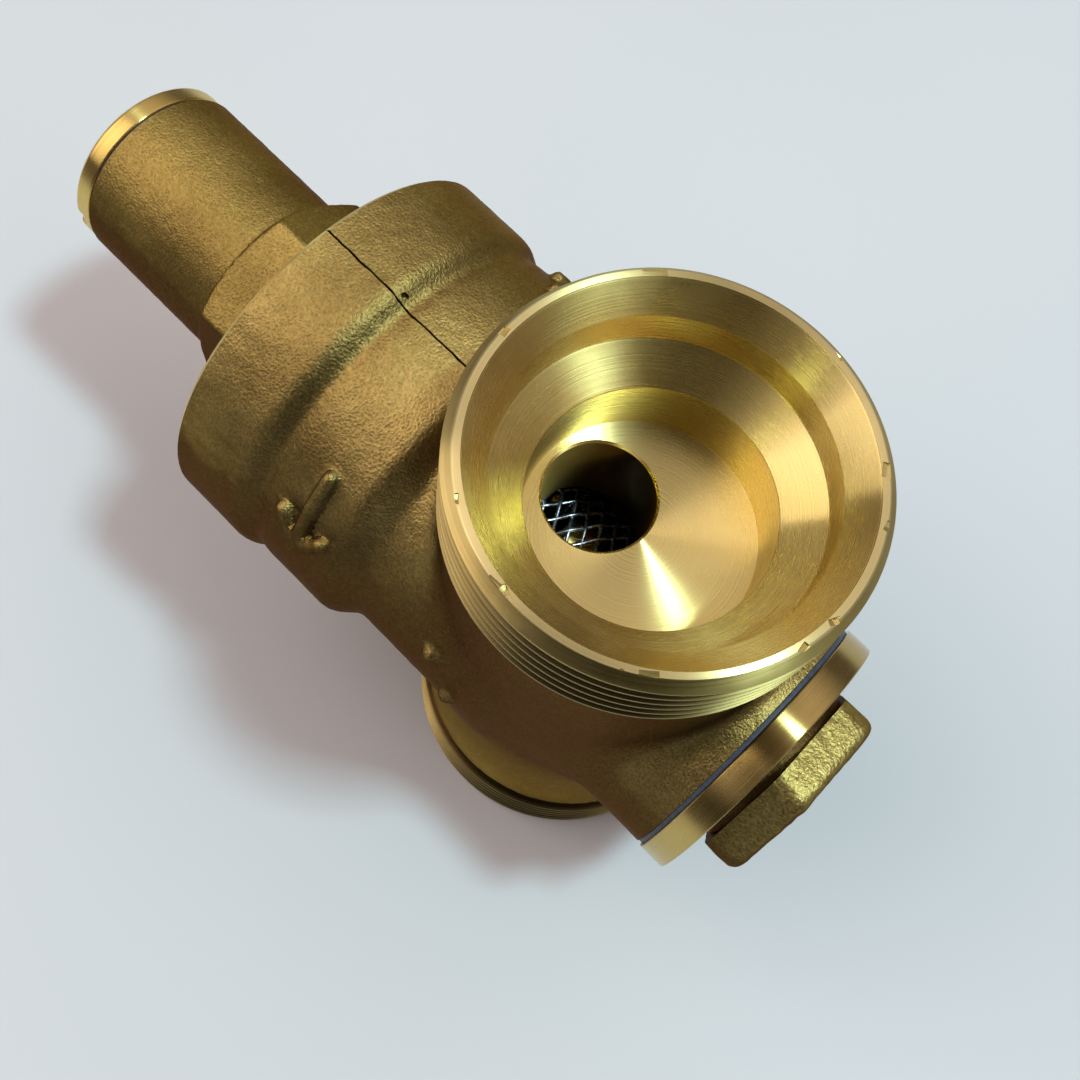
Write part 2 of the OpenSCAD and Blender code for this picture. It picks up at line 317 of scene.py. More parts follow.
class Grid:
    """A box of points at which distance fields are worked out."""

    def __init__(self, low, high, step):
        self.low, self.step = np.array(low, float), step
        counts = np.ceil((np.array(high) - self.low) / step).astype(int) + 1
        lines = [start + step * np.arange(count) for start, count in zip(self.low, counts)]
        self.x, self.y, self.z = (
            line.astype(np.float32).reshape([-1 if i == k else 1 for k in range(3)])
            for i, line in enumerate(lines))
        self.r = np.sqrt(self.y ** 2 + (self.z - AXIS_Z) ** 2)
        self.angle = np.arctan2(self.y, self.z - AXIS_Z)

    def skin(self, name, field, material, lump=0.012, seed=1):
        """The surface where a field is 0, with the small lumps of a sand casting."""
        volume = openvdb.FloatGrid()
        volume.copyFromArray(np.ascontiguousarray(np.clip(field, -3, 3), dtype=np.float32))
        points, quads = volume.convertToQuads(0.0)
        points = self.low + points * self.step
        points += lumps(points, seed)[:, None] * corner_normals(points, quads) * lump
        return mesh_piece(name, points, quads, material)


def corner_normals(points, quads):
    """The normals of a mesh of quads at its points."""
    normal = np.zeros_like(points)
    face = np.cross(points[quads[:, 2]] - points[quads[:, 0]], points[quads[:, 3]] - points[quads[:, 1]])
    for k in range(4):
        np.add.at(normal, quads[:, k], face)
    return normal / np.maximum(np.linalg.norm(normal, axis=1, keepdims=True), 1e-9)


def lumps(points, seed, waves=70, shortest=1.1, longest=4.0):
    """A smooth random height for each point: a sum of waves in random directions."""
    random = np.random.default_rng(seed)
    total = np.zeros(len(points))
    for _ in range(waves):
        heading = random.normal(size=3)
        heading /= np.linalg.norm(heading)
        length = shortest * (longest / shortest) ** random.random()
        total += np.sin(points @ heading * 2 * np.pi / length + random.random() * 7)
    return total / math.sqrt(waves / 2)


def outline_distance(outline, x, y):
    """The signed distance to a closed outline, negative inside it."""
    nearest = np.full(np.broadcast(x, y).shape, 1e9)
    inside = np.zeros(nearest.shape, bool)
    for (ax, ay), (bx, by) in zip(outline, np.roll(outline, -1, 0)):
        dx, dy = bx - ax, by - ay
        along = np.clip(((x - ax) * dx + (y - ay) * dy) / max(dx * dx + dy * dy, 1e-12), 0, 1)
        nearest = np.minimum(nearest, (x - ax - along * dx) ** 2 + (y - ay - along * dy) ** 2)
        if dy:
            inside ^= ((ay > y) != (by > y)) & (x < ax + (y - ay) / dy * dx)
    return np.where(inside, -1, 1) * np.sqrt(nearest)


def turned_field(grid, outline, radius):
    """The distance to an outline of (x, r) turned around the spring axis."""
    outline = soften(outline, radius, 5)
    fine = grid.step / 3
    radii = np.arange(0, grid.r.max() + 2 * fine, fine)
    table = outline_distance(outline, grid.x.reshape(-1, 1), radii[None]).astype(np.float32)
    place = grid.r[0] / fine
    low = place.astype(int)
    return table[:, low] * (1 - place + low) + table[:, low + 1] * (place - low)


def blend_fields(a, b, radius):
    """The union of two fields, with a fillet of about the given radius."""
    mix = np.clip(0.5 + 0.5 * (b - a) / radius, 0, 1)
    return b * (1 - mix) + a * mix - radius * mix * (1 - mix)


def round_edges(a, b, radius):
    """Where two fields meet, with the edge between them rounded."""
    return -blend_fields(-a, -b, radius)


def hexagon_field(grid, across_flats, corner, rounding):
    """The distance to a hexagon around the spring axis, with its corners rounded."""
    field = None
    for k in range(6):
        turn = math.radians(corner + 30 + 60 * k)
        flat = (grid.z - AXIS_Z) * math.cos(turn) + grid.y * math.sin(turn) - across_flats / 2
        field = flat if field is None else round_edges(field, flat, rounding)
    return field


# ----- Materials -----

class Graph:
    """The nodes of a material or a world. Inputs are values or the outputs of other nodes."""

    def __init__(self, owner, shader="Principled BSDF", place="Object"):
        owner.use_nodes = True
        self.owner, self.tree = owner, owner.node_tree
        self.shader = self.tree.nodes[shader]
        self.place = self.node("ShaderNodeTexCoord").outputs[place]

    def node(self, kind, inputs=None, **settings):
        made = self.tree.nodes.new(kind)
        for key, value in settings.items():
            setattr(made, key, value)
        for key, value in (inputs or {}).items():
            self.set(made.inputs[key], value)
        return made

    def set(self, socket, value):
        if isinstance(value, bpy.types.NodeSocket):
            self.tree.links.new(value, socket)
        else:
            socket.default_value = value

    def math(self, operation, a, b=0.0, c=0.0):
        return self.node("ShaderNodeMath", {0: a, 1: b, 2: c}, operation=operation).outputs[0]

    def vector(self, operation, a, b=(0, 0, 0)):
        made = self.node("ShaderNodeVectorMath", {0: a, 1: b}, operation=operation)
        return made.outputs["Value" if operation in ("LENGTH", "DOT_PRODUCT") else "Vector"]

    def noise(self, size, detail=2.0, roughness=0.5):
        """Noise whose features are about the given size in millimetres."""
        inputs = {"Vector": self.place, "Scale": 1 / (size * MM), "Detail": detail,
                  "Roughness": roughness}
        return self.node("ShaderNodeTexNoise", inputs).outputs["Fac"]

    def lines(self, size, along, detail=2.0):
        """Noise in one dimension, for the marks that a tool leaves."""
        inputs = {"W": along, "Scale": 1 / (size * MM), "Detail": detail}
        return self.node("ShaderNodeTexNoise", inputs, noise_dimensions="1D").outputs["Fac"]

    def cells(self, size):
        """How far the middle of the nearest cell is, with cells of about the given size."""
        inputs = {"Vector": self.place, "Scale": 1 / (size * MM)}
        return self.node("ShaderNodeTexVoronoi", inputs).outputs["Distance"]

    def ramp(self, factor, *stops):
        """A colour ramp between two (position, colour) stops."""
        made = self.node("ShaderNodeValToRGB", {"Fac": factor})
        for element, (position, colour) in zip(made.color_ramp.elements, stops):
            element.position = position
            element.color = (*colour, 1)
        return made.outputs["Color"]

    def between(self, factor, low, high, start=0.0, end=1.0):
        """Maps a factor from start..end to low..high."""
        inputs = {"Value": factor, "From Min": start, "From Max": end, "To Min": low, "To Max": high}
        return self.node("ShaderNodeMapRange", inputs).outputs["Result"]

    def mix(self, factor, a, b, blend="MIX"):
        """Mixes two colours, which are inputs 6 and 7 of the node, into its output 2."""
        inputs = {"Factor": factor, 6: a, 7: b}
        return self.node("ShaderNodeMix", inputs, data_type="RGBA", blend_type=blend).outputs[2]

    def bump(self, height, distance, strength):
        """Bumps of a depth in millimetres."""
        inputs = {"Height": height, "Distance": distance * MM, "Strength": strength}
        return self.node("ShaderNodeBump", inputs).outputs["Normal"]

    def finish(self, **inputs):
        """Sets the inputs of the shader. An underscore stands for a space in their names."""
        for key, value in inputs.items():
            self.set(self.shader.inputs[key.replace("_", " ")], value)
        return self.owner


# Painted shade: the dark brown that cast_brass lays where a normal doesn't face up.
FLANK_SHADE_BROWN = (0.075, 0.046, 0.019, 1)
# Painted shade for the roots of a port's thread.
THREAD_ROOT_SHADE = (0.08, 0.045, 0.015, 1)
TURNED_FACE = (0.78, 0.64, 0.28, 1)


def cast_brass(name, dark, light, grain=0.2, depth=0.075):
    """Sand-cast brass: grainy, with dull pits, brighter high spots, broad stains and painted shade.

    The painted shade is a dark brown where the object's own normal doesn't face up, and it is weaker low
    down.
    """
    g = Graph(bpy.data.materials.new(name))
    fine = g.noise(grain, 3, 0.6)
    pits = g.cells(grain * 1.5)
    coarse = g.noise(grain * 4, 2)
    stain = g.noise(16, 3)
    height = g.math("MULTIPLY_ADD", pits, 0.5, g.math("MULTIPLY_ADD", coarse, 0.3, fine))
    colour = g.ramp(stain, (0.3, dark), (0.7, light))
    upward = g.vector("DOT_PRODUCT", g.node("ShaderNodeTexCoord").outputs["Normal"], (0, 0, 1))
    level = g.node("ShaderNodeSeparateXYZ", {0: g.place}).outputs["Z"]
    # Painted shade: faces that don't face up turn dark brown, less so low down.
    flank = g.between(g.math("MULTIPLY_ADD", stain, 0.5, upward), 0.92, 0.0, 0.6, 1.3)
    raised = g.between(g.math("MULTIPLY_ADD", stain, 0.01, level), 0.25, 1.0, 0.018, 0.034)
    colour = g.mix(g.math("MULTIPLY", flank, raised), colour, FLANK_SHADE_BROWN)
    shade = g.between(height, 0.7, 1.25, 0.6, 1.2)
    channels = {channel: shade for channel in ("Red", "Green", "Blue")}
    grey = g.node("ShaderNodeCombineColor", channels).outputs[0]
    colour = g.mix(1.0, colour, grey, "MULTIPLY")
    return g.finish(Base_Color=colour, Metallic=0.9, Roughness=g.between(fine, 0.3, 0.46, 0.3, 0.7),
                    Specular_Tint=(0.5, 0.33, 0.2, 1), Normal=g.bump(height, depth, 0.9))


def paint_thread_root_shade(g, colour, radius, level):
    """Paints shade into the roots of a port's thread, and brightens the port's face. Lengths are in
    metres.
    """
    root = g.between(radius, 0.97, 0.3, (PORT_CREST_R - 0.4) * MM, PORT_CREST_R * MM)
    from_middle = g.math("ABSOLUTE", g.math("SUBTRACT", level, AXIS_Z * MM))
    threaded_part = g.between(from_middle, 1.0, 0.0, (AXIS_Z - 2.2) * MM, (AXIS_Z - 1.6) * MM)
    colour = g.mix(g.math("MULTIPLY", root, threaded_part), colour, THREAD_ROOT_SHADE)
    face = g.between(from_middle, 0.0, 1.0, (AXIS_Z - 0.2) * MM, (AXIS_Z - 0.05) * MM)
    return g.mix(face, colour, TURNED_FACE)


def turned_metal(name, dark, light, axis, roughness=0.25, root_shade=False):
    """Metal off a lathe: fine rings around the axis, which stretch the highlights across them."""
    g = Graph(bpy.data.materials.new(name))
    if axis == "z":
        centre, heading = (0, 0, 0), (0, 0, 1)
    else:
        centre, heading = (0, 0, AXIS_Z * MM), (1, 0, 0)
    arm = g.vector("SUBTRACT", g.place, centre)
    around = g.vector("CROSS_PRODUCT", heading, arm)
    along = g.vector("DOT_PRODUCT", arm, heading)
    tool = g.math("ADD", g.vector("LENGTH", around), g.math("MULTIPLY", along, 0.83))
    rings = g.lines(0.16, tool, 3)
    fine = g.lines(0.05, tool, 1)
    stain = g.noise(9, 3)
    height = g.math("MULTIPLY_ADD", fine, 0.4, rings)
    tangent = g.vector("NORMALIZE", around)
    rough = g.math("ADD", g.between(rings, roughness * 0.88, roughness * 1.15, 0.3, 0.7),
                   g.between(stain, -0.02, 0.05, 0.35, 0.7))
    colour = g.ramp(stain, (0.3, dark), (0.7, light))
    if root_shade:
        colour = paint_thread_root_shade(g, colour, g.vector("LENGTH", around), along)
    return g.finish(Base_Color=colour, Metallic=1.0, Roughness=rough, Anisotropic=1.0,
                    Anisotropic_Rotation=0.25, Tangent=tangent, Normal=g.bump(height, 0.005, 0.8))


def wire_steel(name):
    """Drawn steel wire, with small brighter and duller patches."""
    g = Graph(bpy.data.materials.new(name))
    scratches = g.noise(0.35, 3)
    colour = g.ramp(scratches, (0.3, (0.42, 0.43, 0.45)), (0.7, (0.66, 0.67, 0.69)))
    return g.finish(Base_Color=colour, Metallic=1.0, Roughness=g.between(scratches, 0.2, 0.38),
                    Normal=g.bump(scratches, 0.01, 0.5))


def soft_solid(name, dark, light, grain, roughness, depth=0.02):
    """Rubber, fibre or plastic: a speckled colour and a fine skin."""
    g = Graph(bpy.data.materials.new(name))
    speckle = g.noise(grain, 4, 0.65)
    return g.finish(Base_Color=g.ramp(speckle, (0.35, dark), (0.65, light)),
                    Roughness=g.between(speckle, roughness - 0.08, roughness + 0.1),
                    Normal=g.bump(speckle, depth, 0.6))


CAST = cast_brass("cast_brass", (0.35, 0.235, 0.065), (0.64, 0.465, 0.15))
# A darker copy of the cast brass: painted shade on the bonnet.
CAST_SHADE_BONNET = cast_brass("cast_brass_bonnet_shade", (0.25, 0.165, 0.04), (0.44, 0.31, 0.085))
CAST_BRIGHT = cast_brass("cast_brass_blasted", (0.40, 0.29, 0.08), (0.62, 0.48, 0.16), 0.25, 0.09)
# Near-black cast brass: painted shade in the parting crease and the plug's groove.
CREASE_SHADE = cast_brass("cast_brass_crease_shade", (0.10, 0.055, 0.015), (0.16, 0.09, 0.03))
PORT_BRASS = turned_metal("turned_brass_port", (0.70, 0.54, 0.18), (0.80, 0.65, 0.26), "z")
THREAD_BRASS = turned_metal("threaded_brass", (0.36, 0.27, 0.085), (0.58, 0.45, 0.17), "z", 0.3, True)
AXIS_BRASS = turned_metal("turned_brass_axis", (0.66, 0.47, 0.13), (0.78, 0.58, 0.20), "x")
# A darker copy of the turned brass: painted shade on the plug's flange.
PLUG_SHADE_BRASS = turned_metal("turned_brass_plug_shade", (0.44, 0.30, 0.09), (0.58, 0.43, 0.15), "x", 0.24)
# Near-black brass for the bores and drilled ways: painted shade inside the body.
BORE_SHADE_BRASS = turned_metal("bored_brass_shade", (0.13, 0.085, 0.02), (0.22, 0.15, 0.04), "x", 0.42)
STEEL = turned_metal("turned_steel", (0.50, 0.50, 0.51), (0.62, 0.62, 0.63), "x", 0.3)
WIRE = wire_steel("spring_steel")
RUBBER = soft_solid("black_rubber", (0.012, 0.012, 0.013), (0.03, 0.03, 0.032), 0.5, 0.5)
DARK_GASKET = soft_solid("dark_gasket", (0.045, 0.052, 0.075), (0.09, 0.10, 0.14), 0.4, 0.55)
FIBRE = soft_solid("red_fibre", (0.30, 0.06, 0.03), (0.45, 0.12, 0.06), 0.3, 0.7, 0.04)
PTFE = soft_solid("ptfe", (0.78, 0.78, 0.75), (0.88, 0.88, 0.86), 1.5, 0.4)


# ----- The body -----

CAST_OUTLINE = [
    (PLUG_FACE_X - 1, 0), (PLUG_FACE_X - 1, LOWER_R), (-3, LOWER_R), (0, TRUNK_R), (15.8, TRUNK_R),
    (18.2, HOUSING_R), (26.4, HOUSING_R), (27.2, HOUSING_R - 0.35), (28.9, COLLAR_R),
    (FRONT_FACE_X + 1, COLLAR_R), (FRONT_FACE_X + 1, 0)]


def arrow_mark(grid, place_x, angle):
    """A raised flow arrow in round strokes on the piston housing. It points down, towards the outlet."""
    down = (grid.angle - math.radians(angle)) * HOUSING_R * np.sign(angle)
    tail, tip = (-4.4, 0), (4.4, 0)
    lift, stroke_r = 0.3, 0.75
    strokes = ((tail, tip), (tip, (1.6, 2.4)), (tip, (1.6, -2.4)))
    aside = [outline_distance(np.array(stroke), down, grid.x - place_x) for stroke in strokes]
    return np.sqrt(np.minimum.reduce(aside) ** 2 + (grid.r - HOUSING_R - lift) ** 2) - stroke_r


def pip_mark(grid, place_x, angle, radius):
    """A small round pip on the trunk."""
    turn = math.radians(angle)
    y, z = TRUNK_R * math.sin(turn), AXIS_Z + TRUNK_R * math.cos(turn)
    return np.sqrt((grid.x - place_x) ** 2 + (grid.y - y) ** 2 + (grid.z - z) ** 2) - radius


def body_casting():
    """The cast skin: the trunk, the two port necks and the raised marks."""
    margin = 2 * CASTING_STEP
    thread_room = 7     # at the top and the bottom, the grid leaves out the turned threads
    low = (PLUG_FACE_X - margin, -COLLAR_R - margin, thread_room)
    high = (FRONT_FACE_X + margin, COLLAR_R + margin, FACE_Z - thread_room)
    grid = Grid(low, high, CASTING_STEP)
    trunk = turned_field(grid, CAST_OUTLINE, 0.8)
    neck_side = np.sqrt(grid.x ** 2 + grid.y ** 2) - PORT_NECK_R
    neck_half = AXIS_Z - PORT_THREAD_LEN + 0.1
    neck = round_edges(neck_side, np.abs(grid.z - AXIS_Z) - neck_half, 0.3)
    field = blend_fields(trunk, neck, 2.2)
    for side in (1, -1):
        field = blend_fields(field, arrow_mark(grid, 21.9, side * 58), 0.25)
    for place_x, angle in ((6.6, 73), (3.6, 88)):
        field = blend_fields(field, pip_mark(grid, place_x, angle, 0.9), 0.5)
    return grid.skin("body", field, CAST)


def port_cutter(name, face, inward):
    """What is turned out of a port: a sealing cone, a mouth, a step and a counterbore."""
    depths = [(-1, 0), (-1, PORT_FACE_INNER_R + 0.12), (0, PORT_FACE_INNER_R + 0.12),
              (0.12, PORT_FACE_INNER_R), (SEAL_CONE_DEPTH, MOUTH_R), (MOUTH_DEPTH, MOUTH_R),
              (MOUTH_DEPTH + 0.12, MOUTH_R - 0.05), (STEP_DEPTH, COUNTERBORE_R),
              (STEP_DEPTH + 0.13, COUNTERBORE_R - 0.03), (COUNTERBORE_DEPTH, COUNTERBORE_R - 0.03),
              (COUNTERBORE_DEPTH, 0)]
    outline = [(face + inward * depth, radius) for depth, radius in depths]
    return lathe(name, outline, PORT_BRASS, around_z, 0.05)


def port_thread(name, face, inward):
    """The male thread of a port, from its face to just inside the cast neck."""
    start, end = sorted((face, face + inward * (PORT_THREAD_LEN + 0.6)))
    chamfer = (0.0, PORT_CHAMFER) if inward < 0 else (PORT_CHAMFER, 0.0)
    return threaded(name, start, end, PORT_CREST_R, PORT_PITCH, THREAD_BRASS, around_z, chamfer=chamfer)


def spring_axis_cutters():
    """The bores of the body along the spring axis, with the threads for the bonnet and the plug."""
    outside_plug, outside_front = PLUG_FACE_X - 1, FRONT_FACE_X + 1
    plug_root_r, bonnet_root_r = PLUG_THREAD_R - THREAD_DEPTH, BONNET_THREAD_R - THREAD_DEPTH
    wall_start, wall_end = SEAT_WALL
    outline = [
        (outside_plug, 0), (outside_plug, plug_root_r), (PLUG_THREAD_END_X, plug_root_r),
        (PLUG_THREAD_END_X, CHAMBER_R), (wall_start, CHAMBER_R), (wall_start, SEAT_HOLE_R),
        (wall_end, SEAT_HOLE_R), (wall_end, OUTLET_ROOM_R), (PISTON_BORE_X, OUTLET_ROOM_R),
        (PISTON_BORE_X, PISTON_BORE_R), (BONNET_SHOULDER_X, PISTON_BORE_R),
        (BONNET_SHOULDER_X, bonnet_root_r), (outside_front, bonnet_root_r), (outside_front, 0)]
    # The walls of the bores are near-black: painted shade.
    bores = lathe("bores", outline, BORE_SHADE_BRASS, radius=0.06)
    for start, end, crest, face, outward in (
            (outside_plug, PLUG_THREAD_END_X, PLUG_THREAD_R, PLUG_FACE_X, -1),
            (BONNET_SHOULDER_X, outside_front, BONNET_THREAD_R, FRONT_FACE_X, 1)):
        join(bores, thread("bores", start, end, crest, PORT_PITCH, AXIS_BRASS))
        cone = [(face + outward, 0), (face + outward, crest + 0.1), (face, crest + 0.1),
                (face - outward, crest - THREAD_DEPTH), (face - outward, 0)]
        join(bores, lathe("bores", cone, AXIS_BRASS, radius=0))
    return bores


def inlet_way():
    """The drilled way from the inlet's counterbore to the strainer chamber, and its bevelled edge."""
    floor = FACE_Z - COUNTERBORE_DEPTH
    # The way's wall is near-black: painted shade.
    way = rod("inlet_way", AXIS_Z + CHAMBER_R / 2, floor + 0.5, INLET_WAY_R, BORE_SHADE_BRASS, around_z, 0, 96)
    bevel = [(floor - 0.2, 0), (floor - 0.2, INLET_WAY_R), (floor + 0.1, INLET_WAY_R + 0.3),
             (floor + 0.1, 0)]
    edge = lathe("inlet_way", bevel, PORT_BRASS, around_z, 0, 96)
    for piece in (way, edge):
        piece.data.transform(Matrix.Translation((INLET_WAY_X * MM, 0, 0)))
    return way, edge


def outlet_way():
    """The slanted way from the outlet's counterbore to the room behind the seat."""
    start, end = (Vector((x, 0, z)) for x, z in OUTLET_WAY)
    # The way's wall is near-black: painted shade.
    way = rod("outlet_way", 0, (end - start).length, OUTLET_WAY_R, BORE_SHADE_BRASS, around_z, 0, 72)
    turn = (end - start).to_track_quat("Z", "Y").to_matrix().to_4x4()
    turn.translation = start * MM
    way.data.transform(turn)
    return way


def parting_crease(side):
    """A thin wedge along the mould's parting line, from the port's neck to the front face."""
    start_x, step = 12.5, 0.7
    half_width, above, below = 0.21, 0.3, 0.28
    skin = soften(CAST_OUTLINE, 1.4, 6)
    outline = skin[(skin[:, 0] > 12) & (skin[:, 1] > 15)]
    places = np.arange(start_x, FRONT_FACE_X + 1, step)
    radii = np.interp(places, outline[:, 0], outline[:, 1])
    waver = np.random.default_rng(5).normal(0, 0.03, (len(places), 2))
    points = []
    for x, r, (aside, widen) in zip(places, radii, waver):
        top = AXIS_Z + side * (r + above)
        points += [(x, aside - half_width - widen, top), (x, aside + half_width + widen, top),
                   (x, aside, AXIS_Z + side * (r - below))]
    faces = [[3 * i + k, 3 * i + (k + 1) % 3, 3 * i + 3 + (k + 1) % 3, 3 * i + 3 + k]
             for i in range(len(places) - 1) for k in range(3)]
    # The cut takes this near-black brass, as painted shade in the crease.
    return mesh_piece("crease", points, faces, CREASE_SHADE)


def facing_cuts():
    """The machined faces under the plug and around the bonnet. The second has a narrow bevel."""
    plug = ring("facing", PLUG_FACE_X - 2, PLUG_FACE_X, LOWER_R + 4, 3, AXIS_BRASS, 0)
    outside, edge_r = FRONT_FACE_X + 2, COLLAR_R + 4
    outline = [(FRONT_FACE_X, 3), (FRONT_FACE_X, COLLAR_R - 0.4), (FRONT_FACE_X - 0.45, COLLAR_R + 0.05),
               (FRONT_FACE_X - 0.45, edge_r), (outside, edge_r), (outside, 3)]
    return plug, lathe("facing", outline, AXIS_BRASS, radius=0)


# Knocks on the inlet's rim: the angle of each around the port, its radius, its length and depth, and
# its skew from the direction of the rim. The angles are in degrees.
RIM_KNOCKS = (
    (6, 15.7, 0.8, 0.22, 8), (-42, 15.5, 1.9, 0.16, -4), (57, 15.8, 0.6, 0.2, 80),
    (81, 15.9, 1.1, 0.25, 12), (84, 15.4, 0.4, 0.2, 75), (120, 15.9, 0.5, 0.25, 60),
    (126, 15.6, 1.4, 0.15, 5), (139, 15.9, 0.5, 0.2, 85), (167, 15.8, 0.9, 0.2, 20),
    (178, 15.5, 0.5, 0.25, 65), (-151, 15.8, 0.7, 0.2, 75), (-135, 15.5, 1.2, 0.2, -15),
    (-100, 15.8, 0.5, 0.15, 70))


def knocks():
    """Cutters for shallow dents: one beside the parting line, and those on the inlet's rim."""
    pit_x, pit_y, pit_r = 28.1, -0.7, 0.34
    pit_floor, pit_top = AXIS_Z + 18.9, AXIS_Z + 21
    knock_r = 0.6
    pit = rod("knock", pit_floor, pit_top, pit_r, CAST, around_z, 0, 12)
    pit.data.transform(Matrix.Translation((pit_x * MM, pit_y * MM, 0)))
    pieces = [pit]
    for angle, place, length, depth, skew in RIM_KNOCKS:
        knock = rod("knock", -length / 2, length / 2, knock_r, PORT_BRASS, around_z, 0, 10)
        turn = math.radians(angle)
        height = FACE_Z + knock_r - depth
        spot = Vector((place * math.cos(turn), place * math.sin(turn), height)) * MM
        lay_down = Matrix.Rotation(math.pi / 2, 4, "Y")
        tangent = Matrix.Rotation(turn + math.radians(90 + skew), 4, "Z") @ lay_down
        knock.data.transform(Matrix.Translation(spot) @ tangent)
        pieces.append(knock)
    return pieces


def make_body():
    body = body_casting()
    join(body, port_thread("inlet", FACE_Z, -1), port_thread("outlet", 0, 1))
    cut(body, *facing_cuts())
    cut(body, parting_crease(1), parting_crease(-1))
    inside = join(port_cutter("inlet", FACE_Z, -1), *inlet_way())
    bores = join(spring_axis_cutters(), outlet_way())
    cut(body, bores, inside, port_cutter("outlet", 0, 1), *knocks())
    return finish_piece(body, ["body"])


# ----- Bonnet and cap -----

def bonnet_bores(start, end):
    """The room of the spring, and the threaded hole of the adjusting screw and the cap."""
    room_end, room_r = start + 5.2, 13
    screw_start, screw_r = 45.5, 8.0
    hole_r, root_r = 7.4, screw_r - FINE_DEPTH
    bores = lathe("inside", [
        (start - 1, 0), (start - 1, room_r), (room_end, room_r), (room_end, hole_r),
        (screw_start, hole_r), (screw_start, root_r), (end - 0.6, root_r), (end, screw_r + 0.1),
        (end + 1.5, screw_r + 0.1), (end + 1.5, 0)], AXIS_BRASS)
    screw = thread("inside", screw_start, end + 1.2, screw_r, FINE_PITCH, AXIS_BRASS, depth=FINE_DEPTH)
    return join(bores, screw)


def make_bonnet():
    start, end, flange_r = span("bonnet")
    hexagon_start, hexagon_end, neck_r = start + 8, start + 17.2, 9.45
    root, corner_r, reach = hexagon_start - 0.6, 12.2, 12.6
    grid = Grid((hexagon_start - 1, -reach, AXIS_Z - reach), (end + 1, reach, AXIS_Z + reach),
                CASTING_STEP * 0.7)
    neck = turned_field(grid, [(root, 0), (root, neck_r), (end + 0.6, neck_r), (end + 0.6, 0)], 0.2)
    limit = turned_field(grid, [(root, 0), (root, corner_r), (hexagon_end - 1.4, corner_r),
                                (hexagon_end, 9.9), (hexagon_end, 0)], 0.1)
    hexagon = hexagon_field(grid, across_flats=20, corner=-4, rounding=0.3)
    field = blend_fields(neck, round_edges(hexagon, limit, 0.25), 0.2)
    # The bonnet's skin uses the darker copy of the cast brass, as painted shade.
    bonnet = grid.skin("bonnet", field, CAST_SHADE_BONNET, lump=0.01, seed=2)
    join(bonnet, threaded("flange", start, hexagon_start, flange_r, PORT_PITCH, AXIS_BRASS,
                          chamfer=(0.9, 0.6)))
    cut(bonnet, ring("face", end, end + 2, neck_r + 2, 3, AXIS_BRASS, 0), bonnet_bores(start, end))
    return finish_piece(bonnet, ["bonnet"])


def make_cap():
    start, end, radius = span("cap")
    head = start + 3.4
    slot_depth, slot_half, spigot_r = 1.2, 0.9, 7.95
    cap = lathe("cap", [(head, 0), (head, radius - 0.1), (head + 0.1, radius), (end - 0.5, radius),
                        (end, radius - 0.5), (end, 0)], AXIS_BRASS, radius=0.12)
    join(cap, threaded("spigot", start, head + 0.3, spigot_r, FINE_PITCH, AXIS_BRASS,
                       depth=FINE_DEPTH, chamfer=(0.6, 0)))
    cut(cap, block("slot", (end - slot_depth, -radius - 1, AXIS_Z - slot_half),
                   (end + 1, radius + 1, AXIS_Z + slot_half), AXIS_BRASS))
    return finish_piece(cap, ["cap"])


def make_adjusting_screw():
    """The screw, just clear of the thrust washer, with a hexagon socket."""
    start, end, radius = span("adjusting_screw")
    gap = 0.03
    screw = threaded("adjusting_screw", start + gap, end, radius, FINE_PITCH, AXIS_BRASS,
                     depth=FINE_DEPTH, chamfer=(0.7, 0.7))
    socket = prism("socket", end - 3.5, end + 1, 6, AXIS_BRASS, 0.1)
    lead_in = lathe("socket", [(end - 0.5, 0), (end - 0.5, 3.0), (end + 0.3, 3.9), (end + 0.3, 0)],
                    AXIS_BRASS)
    cut(screw, socket, lead_in)
    return finish_piece(screw, ["adjusting_screw"])


# ----- Spring and its seats -----

def make_spring():
    """Two half springs that meet in the middle."""
    start, end, outer = span("spring")
    wire_r, turns, closed_pitch = 0.9, 8, 1.86
    rings_per_turn, sides = 40, 14
    mean_r = outer - wire_r
    length = end - start - 2 * wire_r
    pitch = (length - 2 * closed_pitch) / (turns - 2)
    turn = np.linspace(0, turns, turns * rings_per_turn + 1)
    rise = np.interp(turn, [0, 1, turns - 1, turns],
                     [0, closed_pitch, closed_pitch + pitch * (turns - 2), length])
    around = 2 * np.pi * turn
    centre = np.stack([start + wire_r + rise, mean_r * np.sin(around),
                       AXIS_Z + mean_r * np.cos(around)], -1)
    outwards = np.stack([0 * around, np.sin(around), np.cos(around)], -1)
    points = tube(centre, outwards, np.broadcast_to([1.0, 0, 0], centre.shape), wire_r, sides)
    points[..., 0] = np.clip(points[..., 0], start, end)
    half = turns * rings_per_turn // 2
    pieces = []
    for name, part in (("spring_lower_half", points[:half + 1]), ("spring_upper_half", points[half:])):
        piece = mesh_piece(name, part.reshape(-1, 3), tube_faces(len(part), sides), WIRE)
        piece.data.shade_smooth()
        piece.data.set_sharp_from_angle(angle=math.radians(50))
        pieces.append(piece)
    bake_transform(pieces[0])
    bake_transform(pieces[1])
    for piece in pieces:
        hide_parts("spring")
    return pieces


